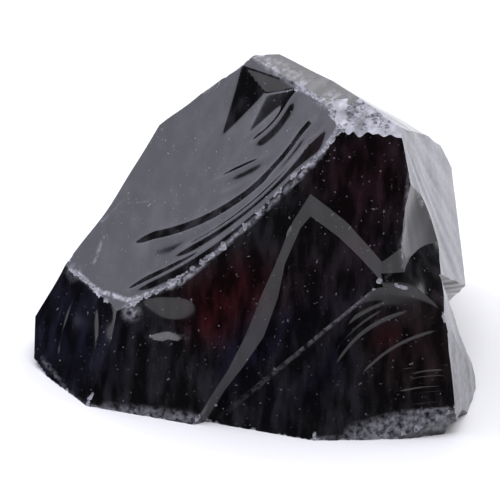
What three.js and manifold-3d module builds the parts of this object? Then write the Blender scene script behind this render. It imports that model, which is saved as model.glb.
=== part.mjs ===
// Obsidian chunk: one broken lump of volcanic glass, 52 mm wide, resting on one flat break.
//
// The lump is a block of glass from which flakes have been struck. Each flake leaves a scar:
// a flat or gently hollow face, set out by the way it faces and how far it lies from the heart
// of the lump. Shock waves leave ripples on the scoop and on the fan-shaped scar.
// Millimetres, +Z up, -Y towards the viewer, the lump rests on Z = 0.

import * as THREE from "three";
import { mergeVertices, toCreasedNormals } from "three/addons/utils/BufferGeometryUtils.js";
import Module from "manifold-3d";

const wasm = await Module();
wasm.setup();

// ---- driving dimensions (mm, degrees) ----
const BLANK_WIDTH = 60; // block of glass before any flake is struck
const BLANK_DEPTH = 46;
const BLANK_HEIGHT = 40;
const FLAKE_THICKNESS = 60; // how far a struck flake reaches outwards
const FAR = 55; // half width of a scar that runs right across the lump
const STEP_DEPTH = 1; // depth of the broad step in the front face
const STEP_RISE = 4; // the step's cutter stands this far proud of the front face
const RIPPLE_TAPER = 0.2; // share of a ripple's arc over which it dies away at each end
const CREASE = 9; // edges sharper than this are drawn as edges
const GLASS_COLOUR = 0x141317;
const GLASS_ROUGHNESS = 0.16;

// The front face: the long dark panel below the scoop.
const FRONT = { turn: -18, tip: 24.5, reach: 15.75 };

// Scars. turn: 0 faces the viewer, +90 faces right. tip: degrees above level.
// reach: distance of the face from the heart of the base. bowl: radii of the hollow
// across and up the face, about the point (at). top: the scar stops short at this height
// up its own face, which leaves a step. ripples: crescent waves, each an arc through three
// points of the face that dies away at both ends.
const SCARS = [
  // the great scoop on the upper left, with ripples that follow its lower edge
  {
    turn: -51,
    tip: 47,
    reach: 19.1,
    bowl: [220, 100],
    at: [-1, 5],
    ripples: [
      { arc: [[-8.9, 1.6], [1.6, 11], [6.6, 26.6]], height: 0.5, spread: 1.4 },
      { arc: [[-5.4, -3.9], [3.5, 8.7], [9.4, 23]], height: 0.3, spread: 0.8 },
      { arc: [[-4.4, 12.2], [0.1, 16.6], [3.7, 20.6]], height: 0.2, spread: 0.8 },
      { arc: [[-1.8, 18.7], [0.4, 21.6], [0.9, 27.6]], height: 0.2, spread: 0.8 },
    ],
    fine: { across: [-18, 13], up: [-9, 31], pitch: 1 },
  },
  // the sliver of old surface along the top
  { turn: -51, tip: 76, reach: 32.5 },
  // the front face
  FRONT,
  // the tall right face
  { turn: 81.5, tip: 16.3, reach: 26.4 },
  // the lower right face, broken back under the tall one
  { turn: 76, tip: 10, reach: 26.8, top: 7.2 },
  // the broken lip along the lower right of the base
  { turn: 8, tip: 0, reach: 20.9 },
  // the left lobe
  {
    turn: -50,
    tip: 25,
    reach: 19.8,
    bowl: [178, 160],
    at: [-15, 0],
    fine: { across: [-14, 16], up: [-10, 12], pitch: 2.5 },
  },
  // the fan-shaped scar struck from the lower right corner, with its arched upper rim
  {
    turn: 8.5,
    tip: 21.2,
    reach: 17.1,
    bowl: [290, 90],
    at: [-25, -1.6],
    ripples: [
      { arc: [[2, 1.4], [12.4, 10.7], [21, 5.6]], height: 0.5, spread: 1.2 },
      { arc: [[6.4, 0.6], [9.8, 5], [15.6, 7.4]], height: 0.06, spread: 0.6 },
    ],
    fine: { across: [1, 23], up: [-10, 12], pitch: 1 },
  },
  // the crushed knob at the top corner
  { turn: -20.6, tip: 58.4, reach: 29.1 },
  // top and sides as seen in outline
  {
    turn: -121,
    tip: 20,
    reach: 22.3,
    bowl: [0, 160],
    at: [0, 8],
    fine: { across: [-20, 20], up: [-12, 28], pitch: 2.5 },
  },
  { turn: -143.5, tip: 37, reach: 27.2 },
  { turn: 176.3, tip: 46, reach: 31.8 },
  { turn: 122.6, tip: 51.9, reach: 33.45 },
  { turn: 119, tip: 51.6, reach: 34.1 },
  { turn: 132.8, tip: 49, reach: 32.2 },
  { turn: 109.8, tip: 26.8, reach: 31.6 },
  { turn: 96.5, tip: 1, reach: 25.9 },
  { turn: 98.8, tip: -0.6, reach: 24.5 },
  { turn: 63.8, tip: -39.4, reach: 22.1 },
  { turn: -100.9, tip: -4.9, reach: 25 },
  { turn: -72.7, tip: -41.3, reach: 18.7 },
  // the back: one broad hollow scar with a break on each side of it
  {
    turn: 171,
    tip: 12,
    reach: 18.6,
    bowl: [70, 90],
    at: [3, 8],
    fine: { across: [-20, 26], up: [-8, 28], pitch: 2 },
  },
  { turn: -152, tip: -6, reach: 19.2 },
  {
    turn: 128,
    tip: 4,
    reach: 29.2,
    bowl: [60, 120],
    at: [-2, 12],
    fine: { across: [-14, 14], up: [-2, 26], pitch: 2 },
  },
];

// Notches between two scars that meet in a valley: only what lies outside both is gone.
const NOTCHES = [
  // the break between the front face and the tall right face
  [{ turn: 59.6, tip: 5.5, reach: 22.5 }, { turn: 58, tip: 42, reach: 28.45 }],
  // the ledge under the tall right face
  [{ turn: 106.3, tip: 19.1, reach: 22.1 }, { turn: 14.7, tip: -49.8, reach: -3.1 }],
];

// The broad V-shaped step in the front face: [rim, floor] pairs, across and up the face.
const STEP = [
  [[-3.5, -12], [-2.5, -12]],
  [[-1.8, -7], [-0.8, -6.9]],
  [[-0.1, -3.4], [1.1, -2.7]],
  [[1.5, -0.1], [3, 0.5]],
  [[3, 4.2], [4.9, 4.2]],
  [[4.2, 8.8], [6, 9]],
  [[5.4, 12.7], [6.3, 13]],
  [[6.8, 18], [7.6, 17.4]],
  [[8.5, 21.6], [8.6, 18.9]],
  [[11, 20.3], [10.4, 18]],
  [[13.3, 19], [12.3, 17]],
  [[16.1, 16.7], [14.9, 15.2]],
  [[18.4, 14.7], [17.2, 13.4]],
  [[20.1, 12.4], [19, 11.4]],
  [[20.1, -20], [19, -20]],
  [[-3.5, -20], [-2.5, -20]],
];

// Chips knocked from the edges: where, which way each faces, its size and its bite.
const CHIPS = [
  { at: [5, -9.3, 21.8], turn: -18, tip: 24.5, size: [1.8, 2.6, 1.8], bite: 0.4 },
  { at: [16, -14.6, 18.3], turn: 4, tip: 12, size: [3.4, 2.6, 3], bite: 0.5 },
  { at: [24, -15.4, 0.4], turn: 50, tip: -28, size: [4.4, 3, 3], bite: 0.8 },
];

/** The three directions of a face: outwards, across it, and up it. */
function faceFrame(face) {
  const turn = THREE.MathUtils.degToRad(face.turn);
  const tip = THREE.MathUtils.degToRad(face.tip);
  const out = new THREE.Vector3(
    Math.sin(turn) * Math.cos(tip),
    -Math.cos(turn) * Math.cos(tip),
    Math.sin(tip),
  );
  const across = new THREE.Vector3(Math.cos(turn), Math.sin(turn), 0);
  const up = new THREE.Vector3().crossVectors(out, across);
  return { out, across, up };
}

/** A point given across, up and outwards from a face. */
function pointOn(frame, across, up, out) {
  return new THREE.Vector3()
    .addScaledVector(frame.across, across)
    .addScaledVector(frame.up, up)
    .addScaledVector(frame.out, out);
}

/** Centre and radius of the circle through three points. */
function circleThrough([[ax, ay], [bx, by], [cx, cy]]) {
  const d = 2 * (ax * (by - cy) + bx * (cy - ay) + cx * (ay - by));
  const [a2, b2, c2] = [ax * ax + ay * ay, bx * bx + by * by, cx * cx + cy * cy];
  const x = (a2 * (by - cy) + b2 * (cy - ay) + c2 * (ay - by)) / d;
  const y = (a2 * (cx - bx) + b2 * (ax - cx) + c2 * (bx - ax)) / d;
  return { x, y, radius: Math.hypot(ax - x, ay - y) };
}

/** Height that one crescent wave adds at a point of its face. */
function rippleRise({ arc, height, spread }, across, up) {
  const { x, y, radius } = circleThrough(arc);
  const angleOf = ([px, py]) => Math.atan2(py - y, px - x);
  const middle = angleOf(arc[1]);
  const wrap = (angle) => THREE.MathUtils.euclideanModulo(angle + Math.PI, 2 * Math.PI) - Math.PI;
  const turned = (angle) => wrap(angle - middle);
  const ends = [turned(angleOf(arc[0])), turned(angleOf(arc[2]))];
  const angle = turned(angleOf([across, up]));
  const soft = Math.abs(ends[1] - ends[0]) * RIPPLE_TAPER;
  const fade = THREE.MathUtils.smoothstep(angle, Math.min(...ends), Math.min(...ends) + soft)
    * (1 - THREE.MathUtils.smoothstep(angle, Math.max(...ends) - soft, Math.max(...ends)));
  const out = Math.hypot(across - x, up - y) - radius;
  return height * fade * Math.exp(-((out / spread) ** 2));
}

/** Height of a scar's surface above its deepest point: the hollow and its ripples. */
function scarHeight(scar, across, up) {
  let height = 0;
  if (scar.bowl) {
    const [x, y] = [across - scar.at[0], up - scar.at[1]];
    height += scar.bowl[0] ? (x * x) / (2 * scar.bowl[0]) : 0;
    height += scar.bowl[1] ? (y * y) / (2 * scar.bowl[1]) : 0;
  }
  for (const ripple of scar.ripples ?? []) {
    height += rippleRise(ripple, across, up);
  }
  return height;
}

/** Grid lines along one direction: close together where the surface is worked, else none. */
function gridLines(low, high, fine, pitch) {
  if (!fine) {
    return [low, high];
  }
  const count = Math.round((fine[1] - fine[0]) / pitch);
  const lines = [low];
  for (let i = 0; i <= count; i += 1) {
    lines.push(fine[0] + ((fine[1] - fine[0]) * i) / count);
  }
  return lines.concat(high).filter((value) => value <= high);
}

/** A closed solid from a list of points and triangles. */
function solidFrom(points, triangles) {
  const flat = points.flatMap((point) => [point.x, point.y, point.z]);
  return new wasm.Manifold(
    new wasm.Mesh({
      numProp: 3,
      vertProperties: new Float32Array(flat),
      triVerts: new Uint32Array(triangles.flat()),
    }),
  );
}

/** The flake whose removal leaves the scar: worked face inwards, flat back outwards. */
function flake(scar) {
  const frame = faceFrame(scar);
  const top = scar.top ?? FAR;
  const columns = gridLines(-FAR, FAR, scar.fine?.across, scar.fine?.pitch);
  const rows = gridLines(-FAR, top, scar.fine?.up, scar.fine?.pitch);
  const points = [];
  const triangles = [];
  for (const back of [false, true]) {
    for (const up of rows) {
      for (const across of columns) {
        const rise = back ? FLAKE_THICKNESS : scarHeight(scar, across, up);
        points.push(pointOn(frame, across, up, scar.reach + rise));
      }
    }
  }
  const wide = columns.length;
  const layer = wide * rows.length;
  const quad = (a, b, c, d) => triangles.push([a, b, c], [a, c, d]);
  for (let j = 0; j + 1 < rows.length; j += 1) {
    for (let i = 0; i + 1 < wide; i += 1) {
      const a = j * wide + i;
      quad(a, a + wide, a + wide + 1, a + 1);
      quad(a + layer, a + layer + 1, a + layer + wide + 1, a + layer + wide);
    }
  }
  const rim = [];
  for (let i = 0; i < wide - 1; i += 1) {
    rim.push(i);
  }
  for (let j = 0; j < rows.length - 1; j += 1) {
    rim.push(j * wide + wide - 1);
  }
  for (let i = wide - 1; i > 0; i -= 1) {
    rim.push((rows.length - 1) * wide + i);
  }
  for (let j = rows.length - 1; j > 0; j -= 1) {
    rim.push(j * wide);
  }
  rim.forEach((a, index) => {
    const b = rim[(index + 1) % rim.length];
    quad(a, b, b + layer, a + layer);
  });
  return solidFrom(points, triangles);
}

/** The piece lifted from the front face that leaves the V-shaped step with sloping walls. */
function stepFlake() {
  const frame = faceFrame(FRONT);
  const rims = STEP.map(([rim]) => rim);
  const floors = STEP.map(([, floor]) => floor);
  const rings = [
    { outline: floors, height: FRONT.reach - STEP_DEPTH },
    { outline: rims, height: FRONT.reach },
    { outline: rims, height: FRONT.reach + STEP_RISE },
  ];
  const points = [];
  const triangles = [];
  for (const ring of rings) {
    for (const [across, up] of ring.outline) {
      points.push(pointOn(frame, across, up, ring.height));
    }
  }
  const count = STEP.length;
  for (let level = 0; level < 2; level += 1) {
    for (let i = 0; i < count; i += 1) {
      const a = level * count + i;
      const b = level * count + ((i + 1) % count);
      triangles.push([a, a + count, b + count], [a, b + count, b]);
    }
  }
  const cap = (outline) => THREE.ShapeUtils.triangulateShape(
    outline.map(([x, y]) => new THREE.Vector2(x, y)),
    [],
  );
  for (const [a, b, c] of cap(floors)) {
    triangles.push([a, c, b]);
  }
  for (const [a, b, c] of cap(rims)) {
    triangles.push([a, b, c].map((i) => 2 * count + i));
  }
  return solidFrom(points, triangles);
}

/** A rounded bite from an edge: an egg-shaped cutter sunk to the depth of its bite. */
function chipCutter(chip) {
  const { out, across, up } = faceFrame(chip);
  const geometry = new THREE.IcosahedronGeometry(1, 3);
  geometry.deleteAttribute("normal");
  geometry.deleteAttribute("uv");
  const basis = new THREE.Matrix4().makeBasis(
    across.clone().multiplyScalar(chip.size[0]),
    up.clone().multiplyScalar(chip.size[1]),
    out.clone().multiplyScalar(chip.size[2]),
  );
  basis.setPosition(new THREE.Vector3(...chip.at).addScaledVector(out, chip.size[2] - chip.bite));
  return solidOf(mergeVertices(geometry.applyMatrix4(basis), 1e-4));
}

/** A closed solid from a welded three.js geometry. */
function solidOf(geometry) {
  return new wasm.Manifold(
    new wasm.Mesh({
      numProp: 3,
      vertProperties: new Float32Array(geometry.attributes.position.array),
      triVerts: new Uint32Array(geometry.index.array),
    }),
  );
}

/** The block of glass before the first blow. */
function blank() {
  const geometry = new THREE.BoxGeometry(BLANK_WIDTH, BLANK_DEPTH, BLANK_HEIGHT);
  geometry.translate(0, 0, BLANK_HEIGHT / 2);
  geometry.deleteAttribute("normal");
  geometry.deleteAttribute("uv");
  return solidOf(mergeVertices(geometry));
}

/** Strikes every flake, the step and the chips, and returns the finished surface. */
function chunkGeometry() {
  let solid = blank();
  for (const scar of SCARS) {
    solid = solid.subtract(flake(scar));
  }
  for (const [upper, lower] of NOTCHES) {
    solid = solid.subtract(flake(upper).intersect(flake(lower)));
  }
  solid = solid.subtract(stepFlake());
  for (const chip of CHIPS) {
    solid = solid.subtract(chipCutter(chip));
  }
  const mesh = solid.getMesh();
  const geometry = new THREE.BufferGeometry();
  geometry.setAttribute("position", new THREE.BufferAttribute(new Float32Array(mesh.vertProperties), 3));
  geometry.setIndex(new THREE.BufferAttribute(new Uint32Array(mesh.triVerts), 1));
  geometry.computeBoundingBox();
  const box = geometry.boundingBox;
  geometry.translate(-(box.min.x + box.max.x) / 2, -(box.min.y + box.max.y) / 2, -box.min.z);
  return toCreasedNormals(geometry, THREE.MathUtils.degToRad(CREASE));
}

const glass = new THREE.MeshStandardMaterial({
  color: GLASS_COLOUR,
  roughness: GLASS_ROUGHNESS,
  metalness: 0,
});
glass.name = "obsidian";

const chunk = new THREE.Mesh(chunkGeometry(), glass);
chunk.name = "obsidian_chunk";

const part = new THREE.Group();
part.name = "obsidian_chunk_part";
part.add(chunk);

export default part;
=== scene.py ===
import logging
import math
from dataclasses import dataclass
from enum import Enum

import bpy
import numpy as np
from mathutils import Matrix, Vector


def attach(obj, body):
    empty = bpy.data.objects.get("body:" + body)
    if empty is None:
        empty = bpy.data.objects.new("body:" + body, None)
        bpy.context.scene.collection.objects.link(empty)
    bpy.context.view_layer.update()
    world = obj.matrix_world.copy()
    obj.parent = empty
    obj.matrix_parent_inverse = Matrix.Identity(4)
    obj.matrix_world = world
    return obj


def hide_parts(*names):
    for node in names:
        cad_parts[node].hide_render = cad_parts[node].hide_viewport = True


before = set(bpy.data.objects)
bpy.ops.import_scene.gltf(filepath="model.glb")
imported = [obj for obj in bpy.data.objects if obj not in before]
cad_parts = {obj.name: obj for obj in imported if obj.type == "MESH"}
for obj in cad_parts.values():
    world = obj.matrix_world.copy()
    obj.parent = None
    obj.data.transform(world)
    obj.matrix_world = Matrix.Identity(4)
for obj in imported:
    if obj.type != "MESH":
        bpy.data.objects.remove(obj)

Pair = tuple[float, float]
Triple = tuple[float, float, float]
Socket = bpy.types.NodeSocket

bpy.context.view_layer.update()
MM = 0.001  # metres in a millimetre
FAR = 55.0  # half width of a scar that runs right across the lump, in mm
FLAKE_THICKNESS = 60.0  # how far a struck flake reaches outwards, in mm
PIT_RIM = 0.04  # softness of the rim of a pit, as a share of its depth
DISH_WEAR = 0.3  # how frosted the large bites are
SHARP_EDGE = 16  # edges above this many degrees are drawn as edges
ROUND = 6.28  # about a whole turn, in radians
SWELL_WAVES = 6
HACKLE_WAVES = 5
WEAR_AND_HIGHLIGHT_END = 1.6  # wear, and the painted highlight along a line, are gone at this many times its reach
BRUISE_END = 1.5  # a bruise is gone at this many times its radius
BASE_WEIGHT = 0.25  # pull of the base colour against the tints
TINT_FALL = 1.2  # how steeply a tint dies away
EGG = (1.0, 0.82, 0.9)  # sides of the shape that bites each chip
SIZE_SEED_STEP = 7.0  # keeps the draw of the sizes apart from that of the places
TURN_SEED = 3  # draw of the way each chip is turned

log = logging.getLogger("obsidian")


class Wear(Enum):
    """How a surface of the lump came about, which sets how the glass looks there."""

    STRUCK = 0.0
    CHIPPED = 1.0


@dataclass(frozen=True)
class Facing:
    """The way a face looks: turn is 0 towards the viewer and 90 to the right, tip is above level."""

    turn: float
    tip: float

    def axes(self) -> tuple[np.ndarray, np.ndarray, np.ndarray]:
        """Returns the directions outwards, across and up the face."""
        turn, tip = math.radians(self.turn), math.radians(self.tip)
        out = np.array([math.sin(turn) * math.cos(tip), -math.cos(turn) * math.cos(tip), math.sin(tip)])
        across = np.array([math.cos(turn), math.sin(turn), 0.0])
        return out, across, np.cross(out, across)

    def place(self, across: np.ndarray, up: np.ndarray, out: np.ndarray) -> np.ndarray:
        """Points in the lump's frame.

        Args:
            across: distances across the face, in mm.
            up: distances up the face, in mm.
            out: distances outwards from the heart of the lump, in mm.

        Returns:
            The points, with a last axis of three.
        """
        o, a, u = self.axes()
        return np.multiply.outer(across, a) + np.multiply.outer(up, u) + np.multiply.outer(out, o)


@dataclass(frozen=True)
class Bowl:
    """The hollow of a scar: radii of curvature across and up the face about its deepest point."""

    radii: Pair
    at: Pair

    def height(self, across: np.ndarray, up: np.ndarray) -> np.ndarray:
        """Rise of the surface above the deepest point."""
        rise = np.zeros_like(across)
        if self.radii[0]:
            rise += (across - self.at[0]) ** 2 / (2 * self.radii[0])
        if self.radii[1]:
            rise += (up - self.at[1]) ** 2 / (2 * self.radii[1])
        return rise


@dataclass(frozen=True)
class Ripple:
    """One crescent wave of a conchoidal break: an arc through three points of the face.

    steep is the width of the flank towards the struck point and slack that of the outer flank.
    """

    start: Pair
    middle: Pair
    end: Pair
    height: float
    steep: float = 0.5
    slack: float = 1.3
    taper: float = 0.25

    def circle(self) -> Triple:
        """Returns the centre and radius of the arc."""
        (ax, ay), (bx, by), (cx, cy) = self.start, self.middle, self.end
        d = 2 * (ax * (by - cy) + bx * (cy - ay) + cx * (ay - by))
        a2, b2, c2 = ax * ax + ay * ay, bx * bx + by * by, cx * cx + cy * cy
        x = (a2 * (by - cy) + b2 * (cy - ay) + c2 * (ay - by)) / d
        y = (a2 * (cx - bx) + b2 * (ax - cx) + c2 * (bx - ax)) / d
        return x, y, math.hypot(ax - x, ay - y)

    def rise(self, across: np.ndarray, up: np.ndarray) -> np.ndarray:
        """Height the wave adds to the surface, dying away beyond both ends of the arc."""
        x, y, radius = self.circle()
        out = np.hypot(across - x, up - y) - radius
        middle = math.atan2(self.middle[1] - y, self.middle[0] - x)
        angle = np.arctan2(up - y, across - x) - middle
        angle = (angle + math.pi) % (2 * math.pi) - math.pi
        ends = []
        for px, py in (self.start, self.end):
            a = math.atan2(py - y, px - x) - middle
            ends.append((a + math.pi) % (2 * math.pi) - math.pi)
        low, high = min(ends), max(ends)
        soft = (high - low) * self.taper
        fade = np.clip((angle - low) / soft, 0, 1) * np.clip((high - angle) / soft, 0, 1)
        fade = fade * fade * (3 - 2 * fade)
        width = np.where(out < 0, self.steep, self.slack) * (0.45 + 0.55 * fade)
        return self.height * fade * np.exp(-((out / width) ** 2))


@dataclass(frozen=True)
class Hackles:
    """Fine straight ridges that fan out from a point of the face."""

    source: Pair
    count: float
    height: float
    reach: Pair
    seed: int

    def rise(self, across: np.ndarray, up: np.ndarray) -> np.ndarray:
        """Height of the fan of ridges, which fades in and out along its length."""
        rng = np.random.default_rng(self.seed)
        angle = np.arctan2(up - self.source[1], across - self.source[0])
        run = np.hypot(across - self.source[0], up - self.source[1])
        total = np.zeros_like(across)
        for k in range(HACKLE_WAVES):
            total += np.sin(angle * self.count * (1 + 0.43 * k) + rng.uniform(0, ROUND)) / (1 + 0.5 * k)
        low, high = self.reach
        fade_in = np.clip((run - low) / (0.3 * (high - low)), 0, 1)
        fade_out = np.clip((high - run) / (0.4 * (high - low)), 0, 1)
        return self.height * total * (fade_in * fade_out)


@dataclass(frozen=True)
class Swell:
    """The slow unevenness of a natural break."""

    height: float
    length: float
    seed: int

    def rise(self, across: np.ndarray, up: np.ndarray) -> np.ndarray:
        """Sum of a few long waves that run in different directions."""
        rng = np.random.default_rng(self.seed)
        total = np.zeros_like(across)
        for _ in range(SWELL_WAVES):
            angle, phase = rng.uniform(0, math.pi), rng.uniform(0, 2 * math.pi)
            length = self.length * rng.uniform(0.7, 1.8)
            total += np.sin((across * math.cos(angle) + up * math.sin(angle)) * 2 * math.pi / length + phase)
        return total * self.height / 3


@dataclass(frozen=True)
class Pit:
    """A small faceted scar inside a larger one, like a pyramid pressed into the face.

    sides gives, for each facet, the angle it lies at (0 across, 90 up) and its distance from the middle.
    """

    at: Pair
    sides: tuple[Pair, ...]
    depth: float
    core: float = 0.12

    def rise(self, across: np.ndarray, up: np.ndarray) -> np.ndarray:
        """Negative height of the pit, zero outside its outline."""
        nearness = np.full_like(across, -1e9)
        for angle, distance in self.sides:
            turn = math.radians(angle)
            facet = ((across - self.at[0]) * math.cos(turn) + (up - self.at[1]) * math.sin(turn)) / distance
            nearness = np.logaddexp(nearness / self.core, facet / self.core) * self.core
        return -self.depth * PIT_RIM * np.logaddexp(0, (1 - nearness) / PIT_RIM)


@dataclass(frozen=True)
class Worked:
    """The part of a scar that is modelled finely: its extent across and up, and the grid pitch."""

    across: Pair
    up: Pair
    pitch: float


def grid_lines(low: float, high: float, fine: Pair | None, pitch: float) -> np.ndarray:
    """Grid lines along one direction, close together only where the face is worked."""
    if fine is None:
        return np.array([low, high])
    count = max(1, round((fine[1] - fine[0]) / pitch))
    lines = np.concatenate([[low], np.linspace(fine[0], fine[1], count + 1)])
    return np.append(lines[lines < high - 1e-6], high)


def store(mesh: bpy.types.Mesh, name: str, kind: str, domain: str, values: np.ndarray) -> None:
    """Keeps an array of values on the mesh under a name."""
    if name in mesh.attributes:
        mesh.attributes.remove(mesh.attributes[name])
    attribute = mesh.attributes.new(name, kind, domain)
    key = "color" if kind == "FLOAT_COLOR" else "value"
    attribute.data.foreach_set(key, np.asarray(values, np.float32).reshape(-1))


def mesh_object(
    name: str,
    points: np.ndarray,
    faces: list[tuple[int, ...]],
    wear: float = 0.0,
) -> bpy.types.Object:
    """A mesh object in the scene from points in mm and faces.

    Args:
        name: name of the object.
        points: corner points, one row each, in mm.
        faces: corner numbers of each face.
        wear: how crushed the surface it leaves is, from 0 to 1.

    Returns:
        The object, at the origin, with its mesh in metres.
    """
    mesh = bpy.data.meshes.new(name)
    mesh.from_pydata((points * MM).tolist(), [], faces)
    mesh.update()
    store(mesh, "chipped", "FLOAT", "FACE", np.full(len(mesh.polygons), wear))
    made = bpy.data.objects.new(name, mesh)
    bpy.context.scene.collection.objects.link(made)
    return made


@dataclass(frozen=True)
class Scar:
    """The face left where one flake came away.

    reach is the distance of the face from the heart of the lump's base. A scar with a top
    stops short at that height up its own face and leaves a step.
    """

    name: str
    facing: Facing
    reach: float
    bowl: Bowl | None = None
    ripples: tuple[Ripple, ...] = ()
    hackles: tuple[Hackles, ...] = ()
    pits: tuple[Pit, ...] = ()
    swell: Swell | None = None
    worked: Worked | None = None
    top: float = FAR
    wear: float = Wear.STRUCK.value

    def height(self, across: np.ndarray, up: np.ndarray) -> np.ndarray:
        """Height of the face above its plane, in mm."""
        rise = np.zeros_like(across)
        if self.bowl:
            rise += self.bowl.height(across, up)
        for wave in (*self.ripples, *self.hackles, *self.pits):
            rise += wave.rise(across, up)
        if self.swell:
            rise += self.swell.rise(across, up)
        return rise

    def flake(self) -> bpy.types.Object:
        """The piece whose removal leaves this scar: worked face inwards, flat back outwards."""
        worked = self.worked
        columns = grid_lines(-FAR, FAR, worked.across if worked else None, worked.pitch if worked else 1)
        rows = grid_lines(-FAR, self.top, worked.up if worked else None, worked.pitch if worked else 1)
        across, up = np.meshgrid(columns, rows)
        front = self.facing.place(across, up, self.reach + self.height(across, up)).reshape(-1, 3)
        wide, high = len(columns), len(rows)
        index = np.arange(wide * high).reshape(high, wide)
        a, b, c, d = index[:-1, :-1], index[1:, :-1], index[1:, 1:], index[:-1, 1:]
        faces = np.stack([a, b, c, d], -1).reshape(-1, 4).tolist()
        rim = [*index[0, :-1], *index[:-1, -1], *index[-1, :0:-1], *index[:0:-1, 0]]
        rim_across, rim_up = across.reshape(-1)[rim], up.reshape(-1)[rim]
        back = self.facing.place(rim_across, rim_up, np.full(len(rim), self.reach + FLAKE_THICKNESS))
        base = wide * high
        for k, corner in enumerate(rim):
            following = (k + 1) % len(rim)
            faces.append((int(corner), int(rim[following]), base + following, base + k))
        faces.append(tuple(base + k for k in range(len(rim))))
        return mesh_object(self.name, np.vstack([front, back]), faces, self.wear)


def keep_common(made: bpy.types.Object, other: bpy.types.Object) -> bpy.types.Object:
    """Cuts a solid down to the part it shares with another, which is used up."""
    common = made.modifiers.new("common part", "BOOLEAN")
    common.operation = "INTERSECT"
    common.solver = "MANIFOLD"
    common.object = other
    settle(made)
    discard(other)
    return made


def settle(made: bpy.types.Object) -> None:
    """Turns a modified object into a plain mesh with no modifiers."""
    graph = bpy.context.evaluated_depsgraph_get()
    fresh = bpy.data.meshes.new_from_object(made.evaluated_get(graph))
    old = made.data
    made.modifiers.clear()
    made.data = fresh
    bpy.data.meshes.remove(old)


def discard(made: bpy.types.Object) -> None:
    """Removes a helper object and its mesh."""
    mesh = made.data
    bpy.data.objects.remove(made)
    bpy.data.meshes.remove(mesh)


@dataclass(frozen=True)
class WedgeScar:
    """A notch between two scars that meet in a valley: only what lies outside both is taken away."""

    upper: Scar
    lower: Scar

    def flake(self) -> bpy.types.Object:
        """The piece that is struck out."""
        return keep_common(self.upper.flake(), self.lower.flake())


def face_outwards(made: bpy.types.Object) -> bpy.types.Object:
    """Turns a closed mesh inside out if its faces look inwards."""
    mesh = made.data
    mesh.calc_loop_triangles()
    volume = 0.0
    for tri in mesh.loop_triangles:
        a, b, c = (mesh.vertices[i].co for i in tri.vertices)
        volume += a.dot(b.cross(c))
    if volume < 0:
        mesh.flip_normals()
    return made


@dataclass(frozen=True)
class StepFlake:
    """The thin plate lifted from the front face, which leaves a V-shaped step with sloping walls."""

    face: Facing
    reach: float
    depth: float
    outline: tuple[tuple[Pair, Pair], ...]
    stands_proud: float = 4.0

    def flake(self) -> bpy.types.Object:
        """The plate, as three rings of corners: floor, rim and a lid clear of the lump."""
        rims = np.array([rim for rim, _ in self.outline])
        floors = np.array([floor for _, floor in self.outline])
        count = len(rims)
        rings = (
            (floors, self.reach - self.depth),
            (rims, self.reach),
            (rims, self.reach + self.stands_proud),
        )
        points = np.vstack([self.face.place(r[:, 0], r[:, 1], np.full(count, h)) for r, h in rings])
        faces: list[tuple[int, ...]] = []
        for level in range(2):
            for k in range(count):
                a, b = level * count + k, level * count + (k + 1) % count
                faces.append((a, a + count, b + count, b))
        faces.append(tuple(range(count)))
        faces.append(tuple(2 * count + k for k in reversed(range(count))))
        return face_outwards(mesh_object("front step", points, faces))


@dataclass(frozen=True)
class Dish:
    """A shallow egg-shaped bite: where it lies, the way it faces, its half sizes and its depth."""

    at: Triple
    facing: Facing
    size: Triple
    bite: float
    spin: float = 0.0

    def flake(self) -> bpy.types.Object:
        """An egg-shaped cutter sunk to its bite."""
        out, across, up = self.facing.axes()
        c, s = math.cos(math.radians(self.spin)), math.sin(math.radians(self.spin))
        across, up = across * c + up * s, up * c - across * s
        centre = np.array(self.at) + out * (self.size[2] - self.bite)
        bpy.ops.mesh.primitive_ico_sphere_add(subdivisions=5, radius=1)
        made = bpy.context.object
        made.name = "dish"
        co = np.zeros(len(made.data.vertices) * 3)
        made.data.vertices.foreach_get("co", co)
        co = co.reshape(-1, 3) * np.array(self.size)
        place = centre + co[:, :1] * across + co[:, 1:2] * up + co[:, 2:] * out
        made.data.vertices.foreach_set("co", (place * MM).reshape(-1))
        made.data.update()
        store(made.data, "chipped", "FLOAT", "FACE", np.full(len(made.data.polygons), DISH_WEAR))
        return face_outwards(made)


SCOOP = Facing(-51, 47)
FRONT = Facing(-18, 24.5)
FAN = Facing(8.5, 21.2)
LOBE = Facing(-50, 25)
SCOOP_REACH = 19.1
FRONT_REACH = 15.75


def plain_scar(
    name: str, facing: Pair, reach: float, swell: tuple[float, float, int],
    across: Pair, up: Pair, pitch: float,
) -> Scar:
    """A scar with no ripples, only a slow unevenness.

    Args:
        name: what the face is.
        facing: turn and tip of the face, in degrees.
        reach: its distance from the heart of the base, in mm.
        swell: height, length and seed of its unevenness.
        across: extent modelled finely across the face, in mm.
        up: extent modelled finely up the face, in mm.
        pitch: spacing of its grid, in mm.

    Returns:
        The scar.
    """
    return Scar(name, Facing(*facing), reach, swell=Swell(*swell), worked=Worked(across, up, pitch))


FAN_LINES = tuple(
    Ripple(
        (13.2 + 0.5 * ((3 * k) % 4), 0.4 - 0.62 * k),
        (17.0, 0.9 - 0.62 * k),
        (20.6 - 0.4 * ((5 * k) % 3), 0.8 - 0.62 * k),
        0.026 + 0.012 * ((2 * k) % 3),
        0.15,
        0.3,
    )
    for k in range(9)
)

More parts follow.
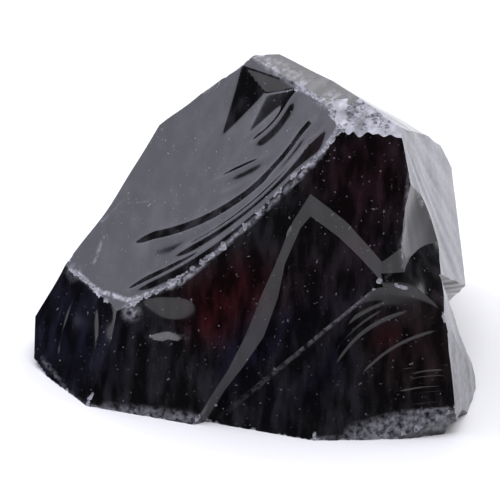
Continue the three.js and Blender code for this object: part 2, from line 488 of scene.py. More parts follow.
SCARS = (
    Scar(
        "great scoop",
        SCOOP,
        SCOOP_REACH,
        Bowl((220, 100), (-1, 5)),
        ripples=(
            Ripple((-8.9, 1.6), (1.6, 11.0), (6.6, 26.6), 0.5, 1.1, 2.2, 0.14),
            Ripple((-5.4, -3.9), (3.5, 8.7), (9.4, 23.0), 0.3, 0.65, 0.9, 0.16),
            Ripple((-2.4, 3.0), (4.5, 13.3), (8.4, 26.3), 0.25, 0.5, 0.8, 0.16),
            Ripple((-4.4, 12.2), (0.1, 16.6), (3.7, 20.6), 0.2, 0.55, 1.1, 0.45),
            Ripple((-2.7, 11.4), (0.2, 13.9), (2.8, 17.5), 0.08, 0.3, 0.6, 0.45),
            Ripple((-1.8, 18.7), (0.4, 21.6), (0.9, 27.6), 0.2, 0.5, 1.0),
            Ripple((3.2, 16.2), (5.0, 19.8), (5.4, 25.9), 0.14, 0.4, 0.8),
        ),
        pits=(Pit((-3.7, 25.2), ((195.4, 3.8), (-70, 6.2), (-27, 3.9), (98, 1.9)), 0.95, 0.03),),
        swell=Swell(0.05, 16, 3),
        worked=Worked((-18, 13), (-9, 31), 0.2),
    ),
    Scar(
        "old skin",
        Facing(-51, 76),
        32.5,
        ripples=(Ripple((-2, -9), (1.5, 1), (-1, 12), 0.16, 0.9, 1.4, 0.2),),
        swell=Swell(0.1, 5, 5),
        worked=Worked((-12, 12), (-14, 14), 0.3),
        wear=0.12,
    ),
    Scar(
        "front face",
        FRONT,
        FRONT_REACH,
        hackles=(Hackles((3, 24), 34, 0.012, (5, 19), 11),),
        pits=(Pit((-6.3, 3.7), ((98, 3.5), (15, 4.4), (185, 4.8), (-80, 1.6)), 1.15, 0.25),),
        swell=Swell(0.05, 14, 7),
        worked=Worked((-21, 25), (-10, 32), 0.33),
    ),
    Scar(
        "tall right face",
        Facing(81.5, 16.3),
        26.4,
        hackles=(Hackles((-6, 33), 26, 0.03, (3, 40), 8),),
        swell=Swell(0.1, 11, 9),
        worked=Worked((-12, 16), (2, 28), 0.3),
        wear=0.45,
    ),
    Scar(
        "lower right face",
        Facing(76, 10),
        26.8,
        hackles=(Hackles((0, 14), 20, 0.03, (3, 26), 10),),
        swell=Swell(0.1, 9, 12),
        wear=0.45,
        worked=Worked((-14, 14), (-10, 6.8), 0.4),
        top=7.2,
    ),
    Scar("right outline, foot", Facing(98.8, -0.6), 24.5),
    plain_scar("base lip", (8, 0), 20.9, (0.15, 5, 13), (4, 26), (-1, 7), 0.35),
    Scar(
        "left lobe",
        LOBE,
        19.8,
        Bowl((178, 160), (-15, 0)),
        ripples=(
            Ripple((-10.5, -7.0), (-11.6, -0.7), (-11.0, 2.6), 0.09, 0.22, 0.6),
            Ripple((-11.8, -7.4), (-12.8, -3.0), (-12.7, 2.0), 0.07, 0.2, 0.5),
            Ripple((-5.3, -6.5), (-6.2, -1.0), (-8.4, 2.6), 0.07, 0.2, 0.6),
            Ripple((-3.4, -4.0), (-3.2, 0.3), (-6.3, 3.8), 0.09, 0.22, 0.6),
        ),
        hackles=(Hackles((-2, 22), 40, 0.02, (7, 24), 17),),
        swell=Swell(0.08, 8, 15),
        worked=Worked((-16, 16), (-10, 14), 0.33),
    ),
    Scar(
        "corner fan",
        FAN,
        17.1,
        Bowl((290, 90), (-25, -1.6)),
        ripples=(
            Ripple((2.0, 1.4), (12.4, 10.7), (21.0, 5.6), 0.5, 0.5, 3.0, 0.42),
            Ripple((3.8, 0.6), (8.0, 6.2), (13.0, 8.6), 0.05, 0.18, 0.5),
            Ripple((5.6, 0.9), (9.0, 5.5), (13.2, 8.0), 0.035, 0.14, 0.4),
            Ripple((6.4, 0.6), (9.8, 5.0), (15.6, 7.4), 0.06, 0.15, 0.7),
            Ripple((9.2, -0.4), (13.8, 3.4), (19.0, 5.0), 0.055, 0.14, 0.6),
            Ripple((8.4, -0.2), (12.6, 3.6), (16.0, 5.1), 0.03, 0.13, 0.4),
            *FAN_LINES,
        ),
        swell=Swell(0.04, 9, 19),
        worked=Worked((1.5, 23), (-9.5, 12), 0.15),
    ),
    Scar(
        "left shoulder",
        Facing(-121, 20),
        22.3,
        Bowl((0, 160), (0, 8)),
        swell=Swell(0.15, 10, 21),
        worked=Worked((-20, 20), (-12, 28), 0.6),
    ),
    plain_scar("left crown", (-143.5, 37), 27.2, (0.12, 9, 22), (-18, 18), (-10, 24), 0.6),
    plain_scar("crown", (176.3, 46), 31.8, (0.1, 8, 32), (-16, 16), (-10, 12), 0.5),
    plain_scar("right crown", (122.6, 51.9), 33.45, (0.1, 6, 23), (-16, 16), (-10, 10), 0.5),
    plain_scar("low crown", (119, 51.6), 34.1, (0.1, 6, 33), (-16, 16), (-10, 10), 0.5),
    Scar(
        "knob",
        Facing(-20.6, 58.4),
        29.1,
        swell=Swell(0.22, 1.6, 34),
        worked=Worked((4, 24), (8, 26), 0.25),
        wear=Wear.CHIPPED.value,
    ),
    plain_scar("right shoulder", (132.8, 49), 32.2, (0.1, 9, 24), (-16, 16), (-10, 20), 0.6),
    plain_scar("right flank", (109.8, 26.8), 31.6, (0.08, 9, 35), (-16, 16), (-10, 20), 0.6),
    plain_scar("right outline, high", (96.5, 1), 25.9, (0.06, 9, 25), (-16, 20), (2, 30), 0.7),
    Scar("right heel", Facing(63.8, -39.4), 22.1),
    plain_scar("left outline", (-100.9, -4.9), 25.0, (0.08, 8, 26), (-12, 12), (-2, 20), 0.7),
    Scar("left heel", Facing(-72.7, -41.3), 18.7),
    Scar(
        "back hollow",
        Facing(171, 12),
        18.6,
        Bowl((70, 90), (3, 8)),
        ripples=tuple(
            Ripple((-14, 20 - 3.4 * k), (2, 15 - 3.6 * k), (18, 19 - 3.4 * k), 0.22, 0.6, 1.4)
            for k in range(6)
        ),
        swell=Swell(0.1, 12, 27),
        worked=Worked((-20, 26), (-8, 28), 0.45),
    ),
    plain_scar("back left", (-152, -6), 19.2, (0.15, 10, 28), (-20, 20), (-4, 28), 0.7),
    Scar(
        "back right",
        Facing(128, 4),
        29.2,
        Bowl((60, 120), (-2, 12)),
        ripples=tuple(
            Ripple((-10 + 3 * k, 24), (-6 + 3 * k, 12), (-9 + 3 * k, 1), 0.2, 0.5, 1.3)
            for k in range(5)
        ),
        swell=Swell(0.1, 11, 29),
        worked=Worked((-14, 14), (-2, 26), 0.5),
    ),
)

RIGHT_BREAK = WedgeScar(
    Scar(
        "right break, upper",
        Facing(59.6, 5.5),
        22.5,
        Bowl((16, 60), (1.5, 19)),
        hackles=(Hackles((-2, 38), 30, 0.01, (6, 30), 41),),
        swell=Swell(0.08, 6, 42),
        worked=Worked((-5, 8), (8, 30), 0.3),
    ),
    Scar(
        "right break, lower",
        Facing(58, 42),
        28.45,
        swell=Swell(0.08, 6, 43),
        worked=Worked((-6, 8), (-12, 4), 0.35),
    ),
)

RIGHT_LEDGE = WedgeScar(
    Scar(
        "right ledge, side",
        Facing(106.3, 19.1),
        22.1,
        swell=Swell(0.12, 5, 31),
        worked=Worked((-14, 14), (-8, 8), 0.5),
    ),
    plain_scar("right ledge, roof", (14.7, -49.8), -3.1, (0.12, 4, 32), (14, 32), (4, 24), 0.5),
)

FRONT_STEP = StepFlake(
    FRONT,
    FRONT_REACH,
    1.0,
    (
        ((-3.5, -12), (-2.5, -12)),
        ((-1.8, -7), (-0.8, -6.9)),
        ((-0.1, -3.4), (1.1, -2.7)),
        ((1.5, -0.1), (3, 0.5)),
        ((3, 4.2), (4.9, 4.2)),
        ((4.2, 8.8), (6, 9)),
        ((5.4, 12.7), (6.3, 13)),
        ((6.8, 18), (7.6, 17.4)),
        ((8.5, 21.6), (8.6, 18.9)),
        ((11, 20.3), (10.4, 18)),
        ((13.3, 19), (12.3, 17)),
        ((16.1, 16.7), (14.9, 15.2)),
        ((18.4, 14.7), (17.2, 13.4)),
        ((20.1, 12.4), (19, 11.4)),
        ((20.1, -20), (19, -20)),
        ((-3.5, -20), (-2.5, -20)),
    ),
)


def on_face(facing: Facing, across: float, up: float, out: float) -> Triple:
    """One point of a face, as plain numbers."""
    return tuple(facing.place(np.array(across), np.array(up), np.array(out)).tolist())


DISHES = (
    Dish(on_face(SCOOP, -11.6, 22.4, SCOOP_REACH + 1.8), SCOOP, (2.8, 1.9, 1.6), 0.35, 40),
    Dish((5, -9.3, 21.8), FRONT, (1.8, 2.6, 1.8), 0.4, -25),
    Dish((16, -14.6, 18.3), Facing(4, 12), (3.4, 2.6, 3), 0.5),
    Dish((24, -15.4, 0.4), Facing(50, -28), (4.4, 3, 3), 0.8),
)


@dataclass(frozen=True)
class WornAndHighlightLine:
    """A knocked edge, also used for pale ridge lines that are partly a painted highlight: a line through the
    lump, how far the wear reaches and how heavy it is.
    """

    points: tuple[Triple, ...]
    reach: float
    amount: float

    def weight(self, places: np.ndarray) -> np.ndarray:
        """Share of full wear at each place, from the distance to the line."""
        nearest = np.full(len(places), 1e9)
        line = np.array(self.points)
        for a, b in zip(line[:-1], line[1:]):
            along = np.clip(((places - a) @ (b - a)) / ((b - a) @ (b - a)), 0, 1)
            gap = np.linalg.norm(places - a - np.multiply.outer(along, b - a), axis=1)
            nearest = np.minimum(nearest, gap)
        return self.amount * np.clip(WEAR_AND_HIGHLIGHT_END - nearest / self.reach, 0, 1)


WORN = (
    WornAndHighlightLine(
        (
            (-21.0, -0.5, 11.6), (-18.7, -3.8, 11.2), (-14.7, -7.3, 11.7), (-8.7, -8.4, 14.6),
            (-3.0, -7.6, 19.6), (3.0, -6.8, 25.3), (7.3, -6.2, 30.0), (10.3, -4.8, 34.5),
        ),
        0.7,
        1.0,
    ),
    WornAndHighlightLine(((5.7, 1.6, 34.7), (8.3, -1.8, 34.7), (10.3, -4.0, 34.9), (14.0, -5.5, 34.8)), 1.3, 1.0),
    WornAndHighlightLine(
        (
            (8.6, -14.9, 12.6), (10.4, -14.5, 14.8), (12.0, -14.2, 16.5), (16.0, -14.1, 17.5),
            (22.0, -14.5, 13.6),
        ),
        0.5,
        0.8,
    ),
    WornAndHighlightLine(
        (
            (-25.0, -3.1, 1.2), (-21.7, -8.4, 0.0), (-18.7, -12.2, 0.0), (-11.3, -14.3, 0.4),
            (-2.3, -17.2, 0.5), (5.7, -19.4, 0.3), (12, -19.1, 0.5), (22.3, -17.7, 1.3),
        ),
        1.2,
        0.55,
    ),
    WornAndHighlightLine(((12.0, -19.1, 0.5), (14.3, -18.5, 1.6), (17.0, -17.9, 2.8), (22.3, -17.7, 3.3)), 0.8, 0.6),
    WornAndHighlightLine(((-22, 0, 12), (-15, 5, 20), (-9.6, 8.5, 29.5), (0.7, 9.6, 35.0)), 1.0, 0.35),
)


@dataclass(frozen=True)
class Bruise:
    """A crushed, whitened patch of the surface: centre and radius in mm, and how white it is."""

    at: Triple
    radius: float
    amount: float

    def weight(self, places: np.ndarray) -> np.ndarray:
        """Share of white at each place, fading out from the centre."""
        gap = np.linalg.norm(places - np.array(self.at), axis=1)
        return self.amount * np.clip(BRUISE_END - gap / self.radius, 0, 1)


# whitened patches and lines: crushed glass, and along the ridges partly a painted highlight
BRUISES_AND_HIGHLIGHT_LINES = (
    # thin pale lines along the ridges: partly crushed glass, partly a painted highlight line
    *(WornAndHighlightLine(line.points, 0.24, 0.9 * line.amount) for line in WORN),
    WornAndHighlightLine(((0.4, 9.2, 35.1), (3.0, 5.6, 34.8), (5.4, 2.2, 34.8)), 0.5, 0.6),
    WornAndHighlightLine(((7.6, -1.0, 34.8), (10.6, -4.2, 34.9)), 0.55, 0.8),
    WornAndHighlightLine(((17.1, -7.1, 34.7), (17.8, -9.4, 30.4), (19.3, -7.6, 24.7)), 0.25, 0.6),
    WornAndHighlightLine(((17.8, -9.4, 30.4), (16.9, -13.1, 22.1)), 0.2, 0.5),
    WornAndHighlightLine(((11.8, -19.0, 0.5), (14.5, -18.7, 1.2), (17.0, -18.3, 1.7), (22.4, -17.9, 1.8)), 1.1, 0.5),
    WornAndHighlightLine(((-17.5, -12.8, 0.2), (-11.0, -14.5, 0.6), (-2.0, -17.3, 0.6)), 0.6, 0.45),
    WornAndHighlightLine((on_face(SCOOP, -12.6, 5.9, 19.5), on_face(SCOOP, -10.2, 7.3, 19.4)), 0.12, 0.35),
    WornAndHighlightLine((on_face(SCOOP, -12.9, 4.6, 19.5), on_face(SCOOP, -11.6, 4.9, 19.5)), 0.12, 0.35),
    WornAndHighlightLine((on_face(SCOOP, -14.3, 2.4, 19.6), on_face(SCOOP, -13.5, 6.1, 19.6)), 0.14, 0.35),
    WornAndHighlightLine((on_face(SCOOP, -11.4, -2.2, 19.5), on_face(SCOOP, -12.7, 0.9, 19.6)), 0.2, 0.3),
    Bruise((-14.3, -8.4, 10.8), 0.9, 0.7),
    Bruise((-22.2, -1.0, 12.2), 1.4, 0.5),
    Bruise((-20.5, -2.6, 12.8), 1.1, 0.4),
    Bruise((12.2, -14.1, 16.3), 0.9, 0.6),
    Bruise((14.3, -4.4, 34.9), 1.7, 0.8),
    WornAndHighlightLine(((15.2, -13.9, 18.6), (16.9, -13.1, 20.8), (17.4, -12.4, 23.4)), 0.45, 0.6),
)


@dataclass
class Lump:
    """The block of glass and the work of striking it down to its shape."""

    width: float = 60.0
    depth: float = 46.0
    height: float = 40.0
    body: bpy.types.Object | None = None

    def blank(self) -> None:
        """Makes the block before the first blow, standing on Z = 0."""
        x, y, z = self.width / 2, self.depth / 2, self.height
        points = np.array([(i, j, k) for k in (0, z) for j in (-y, y) for i in (-x, x)], float)
        faces = [(0, 2, 3, 1), (4, 5, 7, 6), (0, 1, 5, 4), (1, 3, 7, 5), (3, 2, 6, 7), (2, 0, 4, 6)]
        self.body = mesh_object("obsidian_lump", points, faces)

    def strike(self, flake: bpy.types.Object) -> None:
        """Takes one flake away from the body and discards it."""
        cut = self.body.modifiers.new("strike", "BOOLEAN")
        cut.operation = "DIFFERENCE"
        cut.solver = "MANIFOLD"
        cut.object = flake
        settle(self.body)
        discard(flake)

    def places(self) -> np.ndarray:
        """Corner points of the body, in mm."""
        co = np.zeros(len(self.body.data.vertices) * 3)
        self.body.data.vertices.foreach_get("co", co)
        return co.reshape(-1, 3) / MM

    def move_to(self, places: np.ndarray) -> None:
        """Puts the corner points of the body at these places, in mm."""
        self.body.data.vertices.foreach_set("co", (places * MM).reshape(-1))
        self.body.data.update()

    def shape(self) -> None:
        """Strikes every scar, the right break, the front step and the large bites."""
        self.blank()
        for piece in (*SCARS, RIGHT_BREAK, RIGHT_LEDGE, FRONT_STEP, *DISHES):
            self.strike(piece.flake())
        log.info("struck: %d faces", len(self.body.data.polygons))


class Tree:
    """A geometry-node tree under construction, with short ways to add and join its nodes."""

    def __init__(self, name: str) -> None:
        """Starts an empty tree with one geometry in and one geometry out."""
        self.group = bpy.data.node_groups.new(name, "GeometryNodeTree")
        self.group.interface.new_socket("Geometry", in_out="OUTPUT", socket_type="NodeSocketGeometry")
        self.group.interface.new_socket("Geometry", in_out="INPUT", socket_type="NodeSocketGeometry")
        self.inputs = self.group.nodes.new("NodeGroupInput")
        self.output = self.group.nodes.new("NodeGroupOutput")

    def value(self, name: str, kind: str, default: float | int | None = None) -> Socket:
        """Adds a named input to the tree.

        Args:
            name: name shown on the modifier.
            kind: socket type, without its common prefix.
            default: starting value, if the kind has one.

        Returns:
            The socket that carries the input inside the tree.
        """
        item = self.group.interface.new_socket(name, in_out="INPUT", socket_type=f"NodeSocket{kind}")
        if default is not None:
            item.default_value = default
        return self.inputs.outputs[name]

    def add(self, kind: str, settings: dict | None = None, **links: object) -> bpy.types.Node:
        """Adds a node.

        Args:
            kind: node type, without its common prefix.
            settings: attributes of the node.
            links: input socket name or number (as _0) to a socket or a constant.

        Returns:
            The node.
        """
        prefix = "" if kind.startswith(("Function", "Shader")) else "GeometryNode"
        node = self.group.nodes.new(prefix + kind)
        for key, setting in (settings or {}).items():
            setattr(node, key, setting)
        for key, given in links.items():
            socket = node.inputs[int(key[1:])] if key[0] == "_" else node.inputs[key.replace("_", " ")]
            if isinstance(given, Socket):
                self.group.links.new(given, socket)
            else:
                socket.default_value = given
        return node

    def link(self, source: Socket, target: Socket) -> None:
        """Joins one socket to another."""
        self.group.links.new(source, target)

    def maths(self, work: str, a: object, b: object) -> Socket:
        """Works out one value from two."""
        return self.add("ShaderNodeMath", {"operation": work}, _0=a, _1=b).outputs[0]

    def kept(self, name: str, kind: str = "FLOAT") -> Socket:
        """Reads a value kept on the mesh."""
        return self.add("InputNamedAttribute", {"data_type": kind}, Name=name).outputs[0]

    def keep(self, geometry: Socket, name: str, kind: str, value: Socket) -> Socket:
        """Keeps a value on every point under a name, and returns the geometry."""
        settings = {"data_type": kind, "domain": "POINT"}
        node = self.add("StoreNamedAttribute", settings, Geometry=geometry, Name=name, Value=value)
        return node.outputs[0]

    def end(self, geometry: Socket) -> None:
        """Joins the finished geometry to the output."""
        self.link(geometry, self.output.inputs[0])


@dataclass(frozen=True)
class EdgeChips:
    """Small scars scattered along the sharp edges of the lump where it is worn."""

    name: str
    spacing: float
    sharp: float
    size: Pair
    bite: float
    share: float
    seed: int

    def tree(self) -> bpy.types.NodeTree:
        """Builds the node tree that bites a row of small egg shapes out of the edges."""
        t = Tree(self.name)
        chip = t.value("Chip", "Object")
        spacing = t.value("Spacing", "Float", self.spacing)
        sharp = t.value("Sharp above", "Float", self.sharp)
        small = t.value("Smallest", "Float", self.size[0])
        large = t.value("Largest", "Float", self.size[1])
        bite = t.value("Bite", "Float", self.bite)
        share = t.value("Share of places", "Float", self.share)
        seed = t.value("Seed", "Int", self.seed)
        finish = t.value("Finish", "Material")
        solid = t.inputs.outputs["Geometry"]
        kept = t.keep(solid, "way_out", "FLOAT_VECTOR", t.add("InputNormal").outputs[0])
        angle = t.add("InputMeshEdgeAngle")
        above = {"data_type": "FLOAT", "operation": "GREATER_THAN"}
        is_sharp = t.add("FunctionNodeCompare", above, _0=angle.outputs[0], _1=sharp)
        curve = t.add("MeshToCurve", None, Mesh=kept, Selection=is_sharp.outputs[0])
        points = t.add("CurveToPoints", {"mode": "LENGTH"}, Curve=curve.outputs[0], Length=spacing)
        draw = t.add("FunctionNodeRandomValue", {"data_type": "FLOAT"}, Seed=seed)
        draw.inputs[2].default_value, draw.inputs[3].default_value = 0.0, 1.0
        chance = t.maths("MULTIPLY", t.kept("worn"), share)
        below = {"data_type": "FLOAT", "operation": "LESS_THAN"}
        chosen = t.add("FunctionNodeCompare", below, _0=draw.outputs[1], _1=chance)
        size = t.add("FunctionNodeRandomValue", {"data_type": "FLOAT"})
        t.link(small, size.inputs[2])
        t.link(large, size.inputs[3])
        t.link(t.maths("ADD", seed, SIZE_SEED_STEP), size.inputs[8])
        sized = t.keep(points.outputs[0], "chip_size", "FLOAT", size.outputs[1])
        scale = t.kept("chip_size")
        distance = t.maths("MULTIPLY", t.maths("SUBTRACT", 1.0, bite), scale)
        scaled = {"operation": "SCALE"}
        way = t.kept("way_out", "FLOAT_VECTOR")
        push = t.add("ShaderNodeVectorMath", scaled, Vector=way, Scale=distance)
        moved = t.add("SetPosition", None, Geometry=sized, Offset=push.outputs[0])
        turn = t.add("FunctionNodeRandomValue", {"data_type": "FLOAT_VECTOR"}, Seed=TURN_SEED)
        turn.inputs[1].default_value = (ROUND, ROUND, ROUND)
        placed = t.add(
            "InstanceOnPoints",
            None,
            Points=moved.outputs[0],
            Selection=chosen.outputs[0],
            Rotation=turn.outputs[0],
            Scale=scale,
        )
        source = t.add("ObjectInfo", {"transform_space": "ORIGINAL"}, Object=chip)
        t.link(source.outputs["Geometry"], placed.inputs["Instance"])
        cut = t.add("MeshBoolean", {"operation": "DIFFERENCE", "solver": "MANIFOLD"})
        t.link(kept, cut.inputs["Mesh 1"])
        t.link(placed.outputs[0], cut.inputs["Mesh 2"])
        whole = t.add("RealizeInstances", None, Geometry=cut.outputs[0])
        t.end(t.add("SetMaterial", None, Geometry=whole.outputs[0], Material=finish).outputs[0])
        return t.group

    def egg(self) -> bpy.types.Object:
        """The small egg shape that bites each chip, flattened so its scar is shallow."""
        bpy.ops.mesh.primitive_ico_sphere_add(subdivisions=1, radius=1)
        made = bpy.context.object
        made.name = f"{self.name} bite"
        made.scale = EGG
        bpy.ops.object.transform_apply(location=False, rotation=False, scale=True)
        store(made.data, "chipped", "FLOAT", "FACE", np.full(len(made.data.polygons), Wear.CHIPPED.value))
        return made

    def apply(self, lump: Lump, finish: bpy.types.Material) -> None:
        """Bites the chips from the lump and leaves it a plain mesh.

        Args:
            lump: the lump, whose mesh carries how worn each point is.
            finish: material of the finished surface.
        """
        egg = self.egg()
        cut = lump.body.modifiers.new(self.name, "NODES")
        cut.node_group = self.tree()
        given = {"Chip": egg, "Finish": finish}
        for item in cut.node_group.interface.items_tree:
            if item.in_out == "INPUT" and item.name in given:
                cut[item.identifier] = given[item.name]
        before = len(lump.body.data.polygons)
        settle(lump.body)
        discard(egg)
        log.info("%s: faces %d to %d", self.name, before, len(lump.body.data.polygons))


@dataclass(frozen=True)
class Mottle:
    """A noise pattern: its scale and detail, and the range of values stretched onto another."""

    scale: float
    detail: float
    given: Pair
    wanted: Pair


class Shading:
    """A material's node tree under construction, with short ways to add its nodes."""

    def __init__(self, tree: bpy.types.NodeTree) -> None:
        """Starts from an emptied tree."""
        self.nodes, self.links = tree.nodes, tree.links
        self.nodes.clear()

    def add(self, kind: str) -> bpy.types.Node:
        """Adds a node, by its type without the common prefix."""
        return self.nodes.new("ShaderNode" + kind)

    def attribute(self, name: str, output: str = "Fac") -> Socket:
        """Reads a value kept on the mesh."""
        node = self.add("Attribute")
        node.attribute_name = name
        return node.outputs[output]

    def mottled(self, where: Socket, pattern: Mottle) -> Socket:
        """Adds a noise pattern over a set of coordinates."""
        node = self.add("TexNoise")
        node.inputs["Scale"].default_value = pattern.scale
        node.inputs["Detail"].default_value = pattern.detail
        self.links.new(where, node.inputs["Vector"])
        return self.remap(node.outputs["Fac"], pattern.given, pattern.wanted)

    def remap(self, value: Socket, given: Pair, wanted: Pair) -> Socket:
        """Stretches a range of values onto another, held within its ends."""
        node = self.add("MapRange")
        node.inputs["From Min"].default_value, node.inputs["From Max"].default_value = given
        node.inputs["To Min"].default_value, node.inputs["To Max"].default_value = wanted
        self.links.new(value, node.inputs["Value"])
        return node.outputs[0]

    def maths(self, work: str, a: Socket, b: Socket) -> Socket:
        """Works out one value from two."""
        node = self.add("Math")
        node.operation = work
        self.links.new(a, node.inputs[0])
        self.links.new(b, node.inputs[1])
        return node.outputs[0]


@dataclass(frozen=True)
class Tint:
    """A patch of the glass with its own colour: centre and radius in mm, and linear colour."""

    at: Triple
    radius: float
    colour: Triple


@dataclass(frozen=True)
class GlassFinish:
    """The look of the volcanic glass."""

    base: Triple = (0.0125, 0.012, 0.014)
    polish: float = 0.1
    index: float = 1.5
    # pale colour of crushed glass and dust, also the colour of the painted highlight lines along the ridges
    crushed_and_highlight: Triple = (0.47, 0.47, 0.52)
    pale_roughness: float = 0.45
    bands: Mottle = Mottle(700, 4, (0.42, 0.68), (0.3, 2.0))
    dust: Mottle = Mottle(2400, 3, (0.68, 0.76), (0.0, 0.45))
    frost: Mottle = Mottle(900, 3, (0.4, 0.62), (0.62, 1.0))
    # noise that breaks up the crushed patches and the partly painted ridge highlight lines
    crushing_and_highlight_cover: Mottle = Mottle(1700, 4, (0.36, 0.62), (0.06, 1.0))
    tints: tuple[Tint, ...] = (
        Tint((-5, -11, 12.5), 3.2, (0.022, 0.001, 0.002)),
        Tint((-1.5, -11.5, 16), 3.0, (0.018, 0.001, 0.002)),
        Tint((7, -12.4, 17.5), 3.2, (0.02, 0.0015, 0.004)),
        Tint((11, -12.3, 20.5), 2.6, (0.012, 0.001, 0.005)),
        Tint((12.5, -8.8, 29), 5.0, (0.013, 0.0035, 0.0055)),
        Tint((18.7, -15.3, 9.8), 5.0, (0.012, 0.006, 0.006)),
        Tint((1, -14.9, 7.6), 4.2, (0.002, 0.002, 0.011)),
        Tint((7.5, -15.5, 9.0), 3.0, (0.003, 0.002, 0.008)),
        Tint((-21.3, -4.5, 5.5), 6.0, (0.002, 0.002, 0.009)),
        Tint((15.3, -14.9, 11.5), 1.6, (0.02, 0.002, 0.003)),
    )

    def colours(self, places: np.ndarray) -> np.ndarray:
        """Linear colour of the glass at each place, from the tints round it."""
        total = np.zeros((len(places), 3)) + np.array(self.base) * BASE_WEIGHT
        weights = np.full(len(places), BASE_WEIGHT)
        for tint in self.tints:
            gap = np.linalg.norm(places - np.array(tint.at), axis=1)
            weight = np.exp(-((gap / tint.radius) ** 2) * TINT_FALL)
            total += weight[:, None] * np.array(tint.colour)
            weights += weight
        return total / weights[:, None]

    def streaked(self, shading: Shading, where: Socket) -> Socket:
        """The glass's own colour, in faint bands that lean with the flow of the glass."""
        lean = shading.add("Mapping")
        lean.inputs["Rotation"].default_value = (math.radians(-20), math.radians(-22), 0)
        lean.inputs["Scale"].default_value = (1.0, 0.6, 0.22)
        shading.links.new(where, lean.inputs["Vector"])
        bands = shading.mottled(lean.outputs[0], self.bands)
        scaled = shading.add("VectorMath")
        scaled.operation = "SCALE"
        shading.links.new(shading.attribute("tint", "Color"), scaled.inputs[0])
        shading.links.new(bands, scaled.inputs["Scale"])
        return scaled.outputs[0]

    def pale(self, shading: Shading, where: Socket) -> Socket:
        """How whitened the surface is: specks of dust, frosted breaks, crushed bruises and ridge lines that
        are partly a painted highlight.
        """
        dust = shading.mottled(where, self.dust)
        broken = shading.mottled(where, self.frost)
        frost = shading.maths("MULTIPLY", broken, shading.attribute("chipped"))
        # crushed patches and painted ridge highlight lines, broken up by noise
        cover = shading.mottled(where, self.crushing_and_highlight_cover)
        crushed_and_highlight = shading.maths("MULTIPLY", cover, shading.attribute("bruise_and_highlight"))
        return shading.maths("MAXIMUM", shading.maths("MAXIMUM", dust, frost), crushed_and_highlight)

    def material(self) -> bpy.types.Material:
        """Builds the material: dark polished glass, pale where it is crushed and along the ridges where a
        highlight is partly painted, with a little dust.
        """
        made = bpy.data.materials.new("obsidian")
        made.use_nodes = True
        shading = Shading(made.node_tree)
        links = shading.links
        out = shading.add("OutputMaterial")
        glass = shading.add("BsdfPrincipled")
        links.new(glass.outputs[0], out.inputs[0])
        glass.inputs["IOR"].default_value = self.index
        where = shading.add("TexCoord").outputs["Object"]
        pale = self.pale(shading, where)

        colour = shading.add("Mix")
        colour.data_type = "RGBA"
        links.new(pale, colour.inputs[0])
        links.new(self.streaked(shading, where), colour.inputs[6])
        colour.inputs[7].default_value = (*self.crushed_and_highlight, 1)
        links.new(colour.outputs[2], glass.inputs["Base Color"])

        rough = shading.remap(pale, (0.0, 1.0), (self.polish, self.pale_roughness))
        links.new(rough, glass.inputs["Roughness"])
        return made


CHIPS = (
    EdgeChips("edge chips", 0.0004, 0.3, (0.0002, 0.0009), 0.4, 0.5, 4),
    EdgeChips("edge grains", 0.0002, 0.45, (0.0001, 0.00032), 0.5, 0.6, 9),
)


@dataclass(frozen=True)
class Softbox:
    """A flat soft light: the way it lies from the lump, its distance, its sides and its power."""

    name: str
    toward: Triple
    distance: float
    sides: Pair
    power: float
    colour: Triple = (1.0, 1.0, 1.0)

    def build(self, aim: Vector) -> bpy.types.Object:
        """Places the light, facing the lump.

        Args:
            aim: the point it faces, in metres.

        Returns:
            The light object.
        """
        data = bpy.data.lights.new(self.name, "AREA")
        data.shape = "RECTANGLE"
        data.size, data.size_y = self.sides
        data.energy = self.power
        data.color = self.colour
        made = bpy.data.objects.new(self.name, data)
        way = Vector(self.toward).normalized()
        made.location = aim + way * self.distance
        made.rotation_euler = (-way).to_track_quat("-Z", "Y").to_euler()
        bpy.context.scene.collection.objects.link(made)
        return made


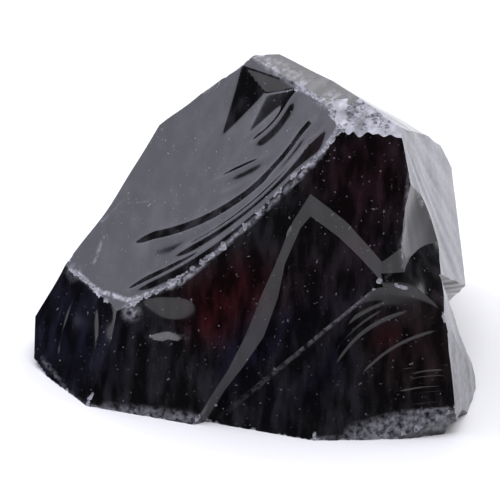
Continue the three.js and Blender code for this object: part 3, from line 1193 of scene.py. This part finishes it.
@dataclass
class Studio:
    """Pale floor, soft lights, dim room and the camera."""

    lens: float = 300.0
    distance: float = 0.4866
    elevation: float = 30.0
    floor_half: float = 1.6
    floor_tone: Triple = (0.82, 0.82, 0.82)
    room_tone: Triple = (0.9, 0.93, 1.0)
    room_strength: float = 0.03
    target: Triple = (-0.0005, -0.0025, 0.0157)

    def floor(self) -> bpy.types.Object:
        """A plain pale floor under the lump."""
        h = self.floor_half
        mesh = bpy.data.meshes.new("floor")
        mesh.from_pydata([(-h, -h, 0), (h, -h, 0), (h, h, 0), (-h, h, 0)], [], [(0, 1, 2, 3)])
        paint = bpy.data.materials.new("pale floor")
        paint.use_nodes = True
        matt = paint.node_tree.nodes["Principled BSDF"]
        matt.inputs["Base Color"].default_value = (*self.floor_tone, 1)
        matt.inputs["Roughness"].default_value = 0.9
        matt.inputs["Specular IOR Level"].default_value = 0.0
        mesh.materials.append(paint)
        made = bpy.data.objects.new("floor", mesh)
        bpy.context.scene.collection.objects.link(made)
        return made

    def lights(self, aim: Vector) -> None:
        """Sets up the soft lights and the dim room."""
        boxes = (
            Softbox("left softbox", (-0.78, 0.23, 0.58), 1.2, (0.75, 1.0), 5.8, (0.95, 0.95, 1.12)),
            Softbox("overhead softbox", (0.02, 0.12, 1.0), 1.25, (1.5, 1.5), 21.0, (0.98, 0.98, 1.06)),
            Softbox("rear softbox", (-0.1, 0.72, 0.69), 1.4, (1.3, 0.42), 4.8),
            Softbox("right softbox", (0.72, 0.22, 0.66), 1.2, (0.7, 0.7), 4.5),
        )
        for box in boxes:
            box.build(aim)
        world = bpy.data.worlds.new("room")
        world.use_nodes = True
        sky = world.node_tree.nodes["Background"]
        sky.inputs["Color"].default_value = (*self.room_tone, 1)
        sky.inputs["Strength"].default_value = self.room_strength
        bpy.context.scene.world = world

    def camera(self, aim: Vector) -> bpy.types.Object:
        """Places the camera.

        Args:
            aim: the point in the middle of the picture, in metres.

        Returns:
            The camera, set as the scene's camera.
        """
        data = bpy.data.cameras.new("camera")
        data.lens = self.lens
        data.sensor_width = 36.0
        data.clip_start = 0.01
        made = bpy.data.objects.new("camera", data)
        rise = math.radians(self.elevation)
        way = Vector((0.0, -math.cos(rise), math.sin(rise)))
        made.location = aim + way * self.distance
        made.rotation_euler = (-way).to_track_quat("-Z", "Y").to_euler()
        bpy.context.scene.collection.objects.link(made)
        bpy.context.scene.camera = made
        return made


def finish_lump(lump: Lump, glass: GlassFinish) -> Vector:
    """Chips the worn edges, colours the glass, centres the lump and sets its shading.

    Args:
        lump: the struck lump.
        glass: the look of the glass.

    Returns:
        How far the lump was moved to stand centred, in metres.
    """
    finish = glass.material()
    for chips in CHIPS:
        places = lump.places()
        worn = np.zeros(len(places))
        for line in WORN:
            worn = np.maximum(worn, line.weight(places))
        store(lump.body.data, "worn", "FLOAT", "POINT", worn)
        chips.apply(lump, finish)
    places = lump.places()
    colours = np.ones((len(places), 4))
    colours[:, :3] = glass.colours(places)
    # whitening of crushed patches and of the ridge lines, which are partly a painted highlight
    bruise_and_highlight_share = np.zeros(len(places))
    for bruise_and_highlight in BRUISES_AND_HIGHLIGHT_LINES:
        bruise_and_highlight_share = np.maximum(bruise_and_highlight_share, bruise_and_highlight.weight(places))
    low, high = places.min(axis=0), places.max(axis=0)
    shift = np.array([-(low[0] + high[0]) / 2, -(low[1] + high[1]) / 2, -low[2]])
    lump.move_to(places + shift)
    mesh = lump.body.data
    store(mesh, "tint", "FLOAT_COLOR", "POINT", colours)
    # keeps the mask of crushed glass and painted ridge highlight lines
    store(mesh, "bruise_and_highlight", "FLOAT", "POINT", bruise_and_highlight_share)
    mesh.materials.clear()
    mesh.materials.append(finish)
    mesh.polygons.foreach_set("material_index", np.zeros(len(mesh.polygons), np.int32))
    mesh.shade_smooth()
    mesh.set_sharp_from_angle(angle=math.radians(SHARP_EDGE))
    log.info("finished: %d faces, size %s mm", len(mesh.polygons), np.round(high - low, 2).tolist())
    return Vector((shift * MM).tolist())


def main() -> None:
    """Builds the lump, its studio and the camera, and reports each."""
    logging.basicConfig(level=logging.INFO, format="%(name)s: %(message)s")
    lump = Lump()
    lump.shape()
    moved = finish_lump(lump, GlassFinish())
    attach(lump.body, "root")
    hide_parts("obsidian_chunk")

    studio = Studio()
    bpy.context.scene.view_settings.view_transform = "Standard"
    studio.floor()
    aim = moved + Vector(studio.target)
    studio.lights(aim)
    studio.camera(aim)
    log.info("studio: floor, four softboxes and camera")


if __name__ == "__main__":
    main()
